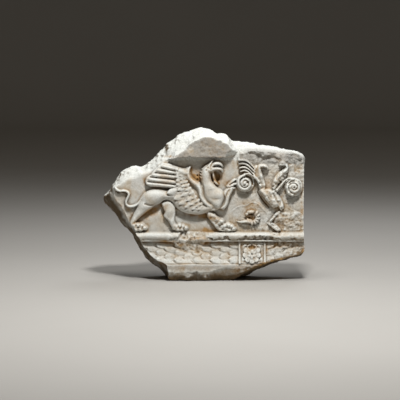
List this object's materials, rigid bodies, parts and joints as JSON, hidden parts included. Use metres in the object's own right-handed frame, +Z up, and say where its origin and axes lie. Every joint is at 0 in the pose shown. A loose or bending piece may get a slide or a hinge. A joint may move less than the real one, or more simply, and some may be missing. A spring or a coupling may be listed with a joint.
{
  "type": "carved marble frieze fragment",
  "caption": "Broken relief block from a carved frieze: a striding griffin, scroll volutes, a leaf band with a rosette clasp, and part of the crown moulding.",
  "frame": {"origin": "centre of the bounding box in plan, at the flat underside of the broken plinth that the stone stands on", "axes": "+X along the frieze, to the right as seen from the carved side; +Y into the stone, from the carved face to the back; +Z up. The carved face looks along -Y."},
  "size_m": [0.894, 0.225, 0.685],
  "materials": {
    "marble": "weathered white-grey marble with ochre staining in the recesses"
  },
  "bodies": {
    "root": {"griffin_frieze_fragment": "marble"}
  },
  "joints": []
}
